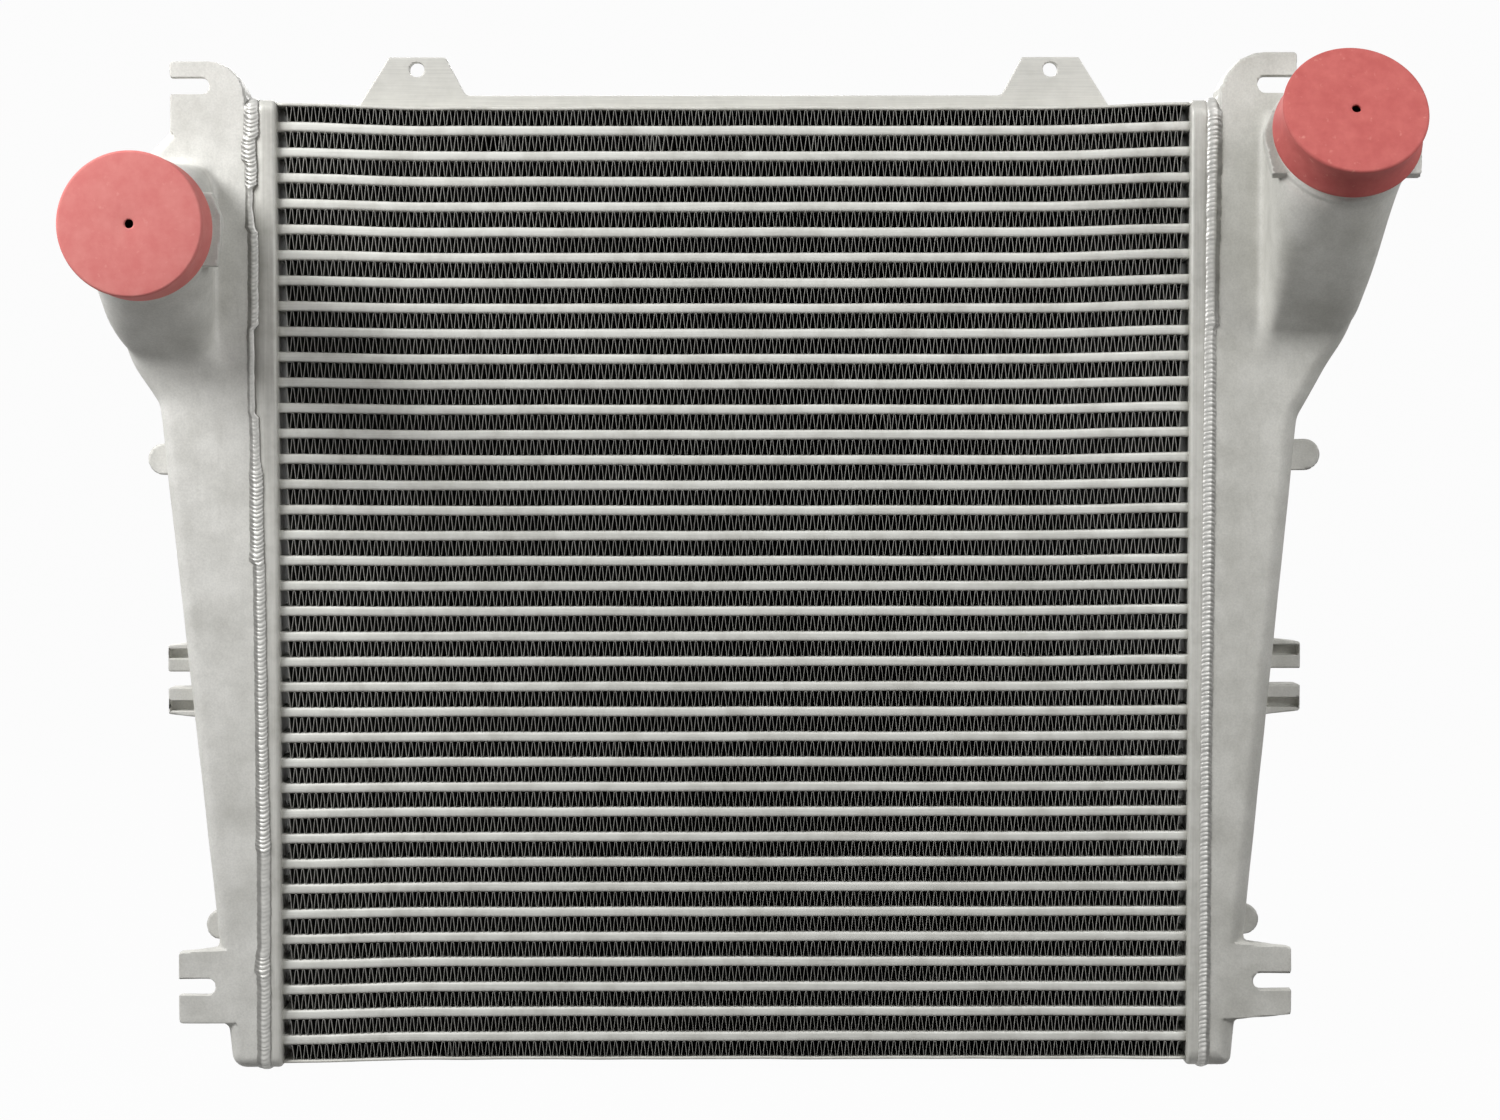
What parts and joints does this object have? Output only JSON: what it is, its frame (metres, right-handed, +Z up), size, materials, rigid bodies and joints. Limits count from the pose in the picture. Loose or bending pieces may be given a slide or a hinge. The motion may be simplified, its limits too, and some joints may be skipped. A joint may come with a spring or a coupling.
{
  "type": "intercooler",
  "caption": "Truck charge air cooler: a brazed aluminium tube-and-fin core between two cast end tanks, each with mounting slots and a hose port under a red rubber dust cap.",
  "frame": {"origin": "middle of the underside of the tube-and-fin core, between the two header pans", "axes": "X runs along the tubes, towards the tank with the tilted port; Y runs through the core from the front, where the ports are, to the back; Z is up"},
  "size_m": [1.0462, 0.2229, 0.8194],
  "materials": {
    "cast_aluminium": "satin, shot-blasted sand casting",
    "tube_aluminium": "satin, rolled and brazed",
    "fin_aluminium": "dull, brazed",
    "sheet_aluminium": "satin, rolled and brazed",
    "header_aluminium": "satin, pressed",
    "weld_aluminium": "rippled weld metal",
    "bracket_aluminium": "satin plate",
    "red_rubber": "matt moulded rubber"
  },
  "bodies": {
    "root": {"tube_01": "tube_aluminium", "tube_02": "tube_aluminium", "tube_03": "tube_aluminium", "tube_04": "tube_aluminium", "tube_05": "tube_aluminium", "tube_06": "tube_aluminium", "tube_07": "tube_aluminium", "tube_08": "tube_aluminium", "tube_09": "tube_aluminium", "tube_10": "tube_aluminium", "tube_11": "tube_aluminium", "tube_12": "tube_aluminium", "tube_13": "tube_aluminium", "tube_14": "tube_aluminium", "tube_15": "tube_aluminium", "tube_16": "tube_aluminium", "tube_17": "tube_aluminium", "tube_18": "tube_aluminium", "tube_19": "tube_aluminium", "tube_20": "tube_aluminium", "tube_21": "tube_aluminium", "tube_22": "tube_aluminium", "tube_23": "tube_aluminium", "tube_24": "tube_aluminium", "tube_25": "tube_aluminium", "tube_26": "tube_aluminium", "tube_27": "tube_aluminium", "tube_28": "tube_aluminium", "tube_29": "tube_aluminium", "tube_30": "tube_aluminium", "tube_31": "tube_aluminium", "tube_32": "tube_aluminium", "tube_33": "tube_aluminium", "tube_34": "tube_aluminium", "tube_35": "tube_aluminium", "tube_36": "tube_aluminium", "tube_37": "tube_aluminium", "air_fins_1": "fin_aluminium", "air_fins_2": "fin_aluminium", "air_fins_3": "fin_aluminium", "air_fins_4": "fin_aluminium", "air_fins_5": "fin_aluminium", "air_fins_6": "fin_aluminium", "air_fins_7": "fin_aluminium", "air_fins_8": "fin_aluminium", "tube_turbulators": "fin_aluminium", "bottom_side_sheet": "sheet_aluminium", "top_side_sheet": "sheet_aluminium", "top_bracket": "bracket_aluminium", "left_header": "header_aluminium", "right_header": "header_aluminium", "left_seam_weld": "weld_aluminium", "right_seam_weld": "weld_aluminium", "left_tank": "cast_aluminium", "right_tank": "cast_aluminium", "left_dust_cap": "red_rubber", "right_dust_cap": "red_rubber"}
  },
  "joints": []
}
